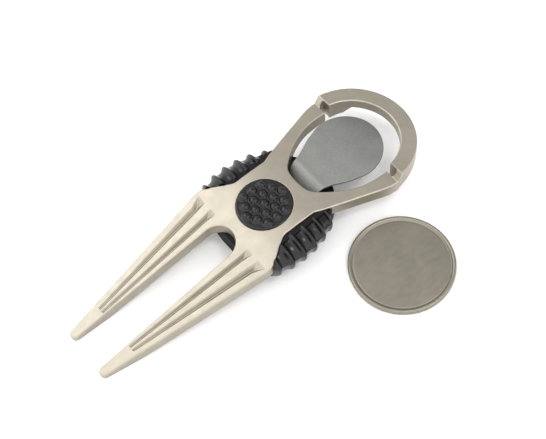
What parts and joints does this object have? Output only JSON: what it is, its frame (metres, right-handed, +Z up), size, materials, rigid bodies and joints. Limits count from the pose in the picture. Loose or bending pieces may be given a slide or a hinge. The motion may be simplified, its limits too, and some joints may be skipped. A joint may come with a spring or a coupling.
{
  "type": "divot repair tool",
  "caption": "Golf divot repair tool: forked metal prongs and carrying ring, spring clip, black ribbed side grips, nubbed thumb pad and a separate round ball marker.",
  "frame": {"origin": "on the floor under the centre of the thumb pad, on the flat underside of the grip body", "axes": "+Z up, out of the thumb pad; +Y from the prong tips to the ring; +X to the right seen from the prongs"},
  "size_m": [0.0573, 0.0948, 0.0105],
  "materials": {
    "satin_nickel": "satin pearl nickel plate on a zinc casting",
    "black_plastic": "matte moulded",
    "black_rubber": "semi-gloss moulded rubber",
    "spring_steel": "matte bead-blasted stainless",
    "steel": "zinc plated",
    "magnet_plate": "bright nickel plate",
    "marker_nickel": "satin nickel, matte recessed field"
  },
  "bodies": {
    "tool": {"fork_frame": "satin_nickel", "grip_body": "black_plastic", "side_grip_left": "black_rubber", "side_grip_right": "black_rubber", "thumb_pad": "black_rubber", "clip_root": "spring_steel", "clip_rivets": "steel", "body_screws": "steel", "marker_magnet": "magnet_plate"},
    "clip_blade": {"spring_clip": "spring_steel"},
    "marker": {"ball_marker": "marker_nickel"}
  },
  "joints": [
    {"name": "clip_flex", "type": "hinge", "parent": "tool", "child": "clip_blade", "pos_m": [0, 0.0114, 0.00705], "axis": [1, 0, 0], "range_deg": [-8, 8], "stiffness_Nm_per_rad": 4.5},
    {"name": "marker_flip", "type": "hinge", "parent": "tool", "child": "marker", "pos_m": [0.01452, 0.00868, -0.00015], "axis": [-0.4815, 0.8764, 0], "range_deg": [0, 180]}
  ]
}
